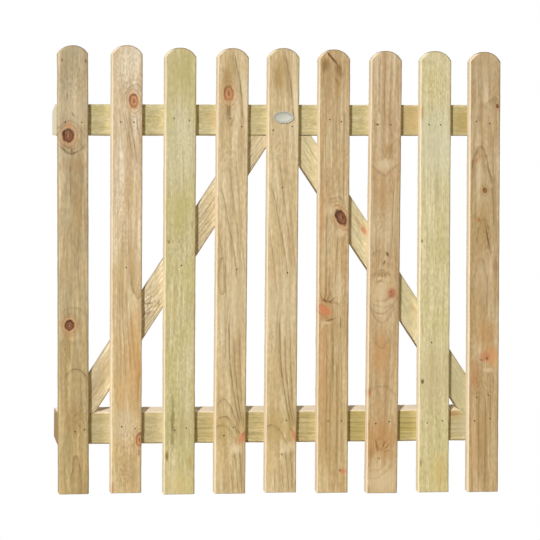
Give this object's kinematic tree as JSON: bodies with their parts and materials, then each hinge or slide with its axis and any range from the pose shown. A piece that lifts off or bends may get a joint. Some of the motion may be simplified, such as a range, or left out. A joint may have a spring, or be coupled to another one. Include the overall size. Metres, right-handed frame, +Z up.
{
  "type": "wooden picket gate",
  "caption": "Wooden picket gate leaf with round-topped upright boards nailed to two rails and a pair of sloping braces, for closing a garden path.",
  "frame": {"origin": "on the flat back face of the bottom rail, halfway up it, at the middle of the lower hinge's seat, 80 mm in from the hinge end of the rail", "axes": "+X along the leaf from the hinge end to the latch end, +Y through the leaf from the picket side to the back, square to the hinge seats, +Z up along the pickets"},
  "size_m": [0.915, 0.067, 0.8999],
  "materials": {
    "picket_wood": "dry planed softwood, pressure treated, with eased edges",
    "rail_wood": "dry sawn softwood, pressure treated",
    "brace_wood": "dry sawn softwood, pressure treated"
  },
  "bodies": {
    "root": {"picket_1": "picket_wood", "picket_2": "picket_wood", "picket_3": "picket_wood", "picket_4": "picket_wood", "picket_5": "picket_wood", "picket_6": "picket_wood", "picket_7": "picket_wood", "picket_8": "picket_wood", "picket_9": "picket_wood", "top_rail": "rail_wood", "bottom_rail": "rail_wood", "left_brace": "brace_wood", "right_brace": "brace_wood"}
  },
  "joints": []
}
